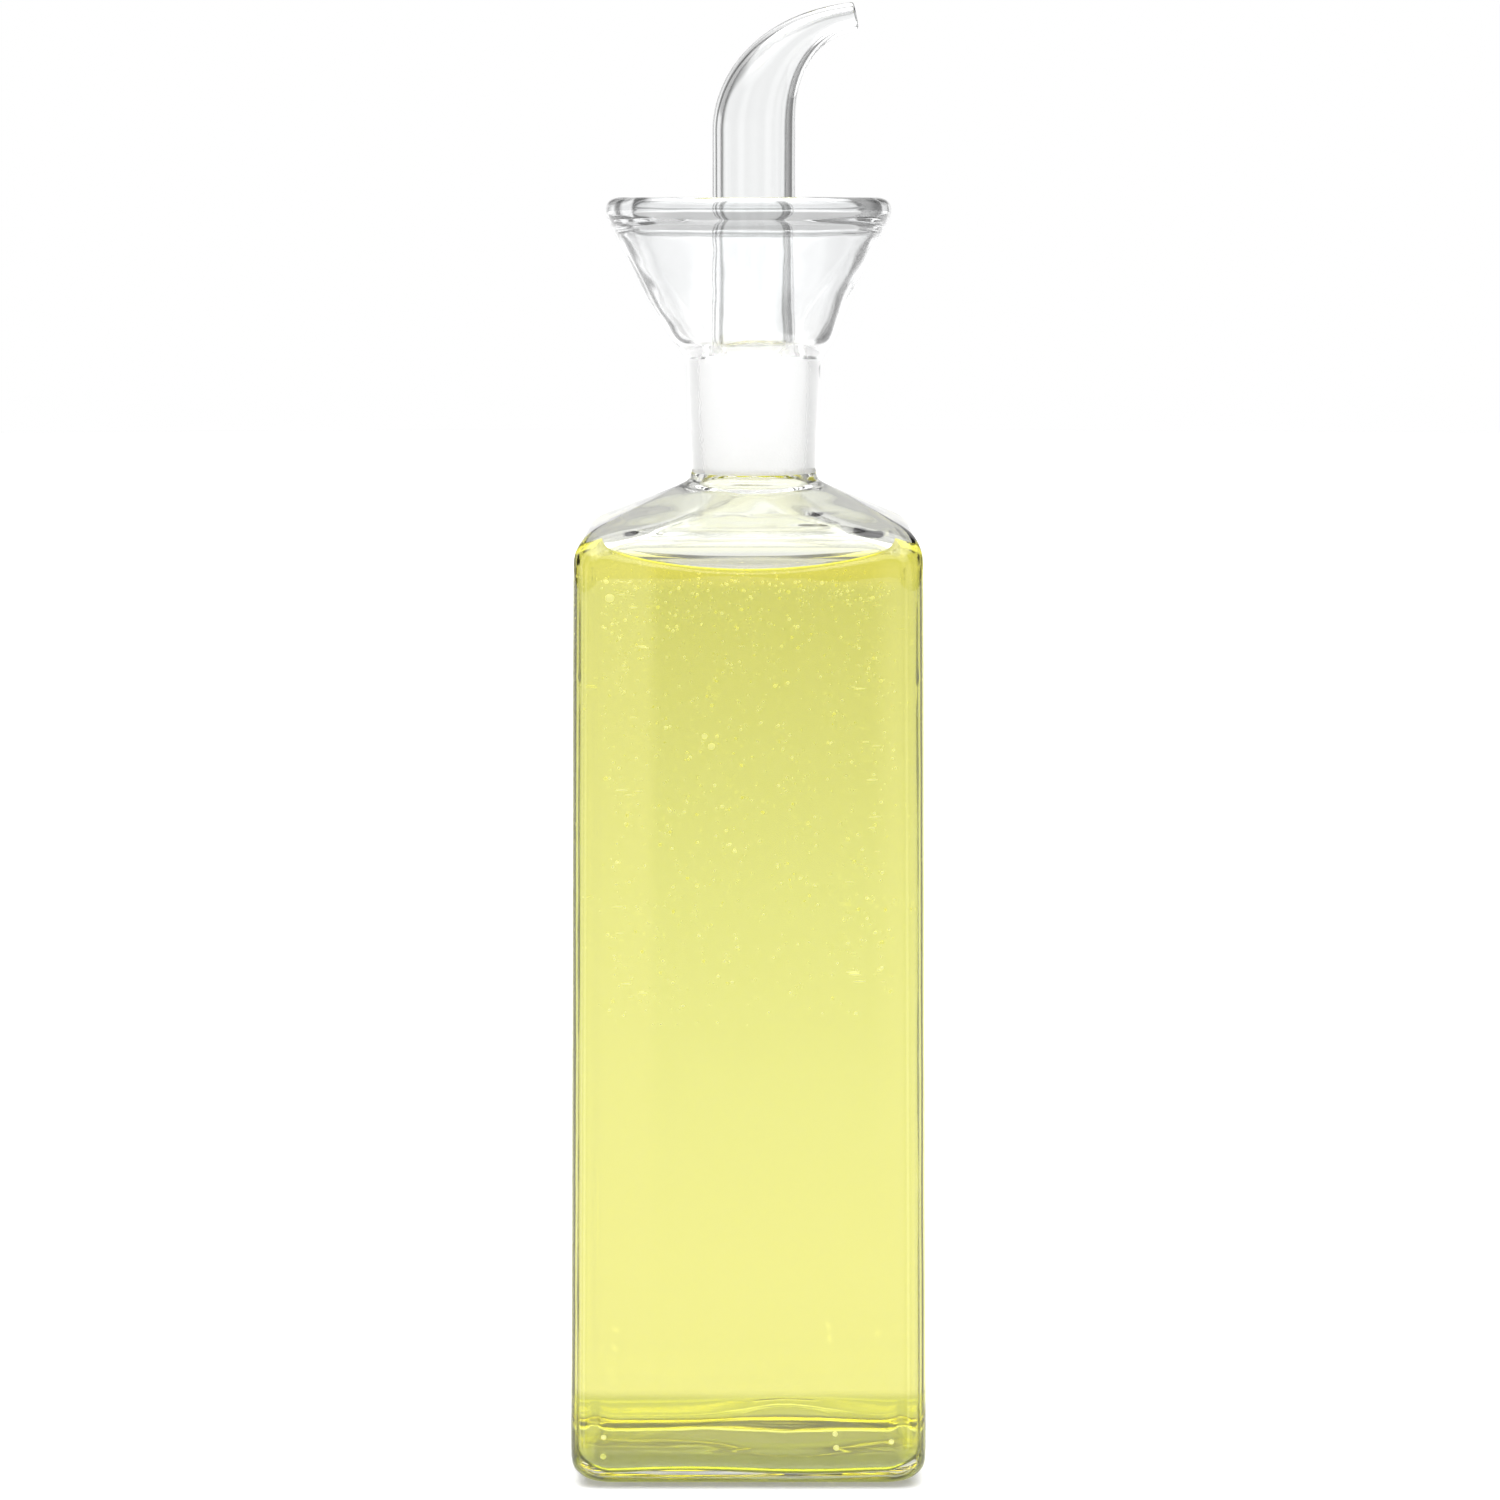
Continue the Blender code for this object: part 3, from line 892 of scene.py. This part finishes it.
def build_surroundings():
    """White all round with grey cards before it, dimmer higher up, and bright overhead and underneath."""
    world = bpy.data.worlds.new("studio")
    bpy.context.scene.world = world
    world.use_nodes = True
    nodes = world.node_tree.nodes
    links = world.node_tree.links
    place = nodes.new("ShaderNodeTexCoord")
    parts = nodes.new("ShaderNodeSeparateXYZ")
    links.new(place.outputs["Generated"], parts.inputs["Vector"])
    height = parts.outputs["Z"]
    angle = joined(nodes, "ARCTAN2", parts.outputs["Y"], parts.outputs["X"])
    share = joined(nodes, "ADD", joined(nodes, "MULTIPLY", angle, 0.5 / pi), 0.5)
    cards = nodes.new("ShaderNodeValToRGB")
    edge = CARD_EDGE / 360
    rim = CARD_RIM / 360
    stops = [(0.0, 1.0)]
    for first, last in CARD_ANGLES:
        start = (first + 180) / 360
        end = (last + 180) / 360
        stops += [(start - edge, 1.0), (start + edge, CARD_GREY)]
        if end - start > 4 * rim:
            stops += [(start + rim, CARD_GREY), (start + 2 * rim, CARD_MIDDLE)]
            stops += [(end - 2 * rim, CARD_MIDDLE), (end - rim, CARD_GREY)]
        stops += [(end - edge, CARD_GREY), (end + edge, 1.0)]
    fill_ramp(cards, [(position, (grey, grey, grey)) for position, grey in stops])
    links.new(share, cards.inputs["Fac"])
    dimming = mapped(nodes, height, BACKDROP_DIMS, (1.0, BACKDROP_TOP))
    level = joined(nodes, "MULTIPLY", cards.outputs["Color"], dimming)
    steep = mapped(nodes, height, OVERHEAD_STARTS, (0.0, OVERHEAD))
    below = mapped(nodes, height, UNDERNEATH_ENDS, (UNDERNEATH, 0.0))
    brightest = joined(nodes, "MAXIMUM", level, joined(nodes, "ADD", steep, below))
    ray = nodes.new("ShaderNodeLightPath")
    seen = joined(nodes, "MAXIMUM", brightest, ray.outputs["Is Camera Ray"])
    links.new(seen, nodes["Background"].inputs["Strength"])
    nodes["Background"].inputs["Color"].default_value = (*WHITE, 1.0)


def build_floor():
    """Wide white floor, and a soft lamp above it."""
    bpy.ops.mesh.primitive_circle_add(vertices=FLOOR_SIDES, radius=FLOOR_RADIUS, fill_type="NGON")
    floor = bpy.context.object
    floor.location.z = FLOOR_Z
    floor.name = "floor"
    floor.visible_transmission = False
    finish, shader = principled("floor_white", (FLOOR_GREY, FLOOR_GREY, FLOOR_GREY), FLOOR_ROUGHNESS)
    add_glow(shader, WHITE, FLOOR_GLOW)
    floor.data.materials.append(finish)

    lamp = bpy.data.lights.new("overhead", "AREA")
    lamp.energy = LAMP_POWER
    lamp.size = LAMP_SIZE
    holder = bpy.data.objects.new("overhead", lamp)
    holder.location = LAMP_PLACE
    bpy.context.scene.collection.objects.link(holder)


def build_camera():
    camera = bpy.data.objects.new("camera", bpy.data.cameras.new("camera"))
    camera.data.lens = CAMERA_LENS
    camera.data.clip_start = CAMERA_NEAR
    camera.location = (CAMERA_X, -CAMERA_DISTANCE, CAMERA_HEIGHT)
    camera.rotation_euler = (pi / 2 - CAMERA_PITCH, 0, 0)
    bpy.context.scene.collection.objects.link(camera)
    bpy.context.scene.camera = camera


def set_light_paths():
    """Enough bounces for light to cross every wall of glass in its way."""
    scene = bpy.context.scene
    scene.view_settings.view_transform = "Standard"
    scene.cycles.max_bounces = GLASS_BOUNCES
    scene.cycles.transmission_bounces = GLASS_BOUNCES
    scene.cycles.diffuse_bounces = SURFACE_BOUNCES
    scene.cycles.glossy_bounces = SURFACE_BOUNCES
    scene.cycles.transparent_max_bounces = CLEAR_BOUNCES


build_bottle()
build_spout()
build_oil()
build_bubbles()
build_surroundings()
build_floor()
build_camera()
set_light_paths()
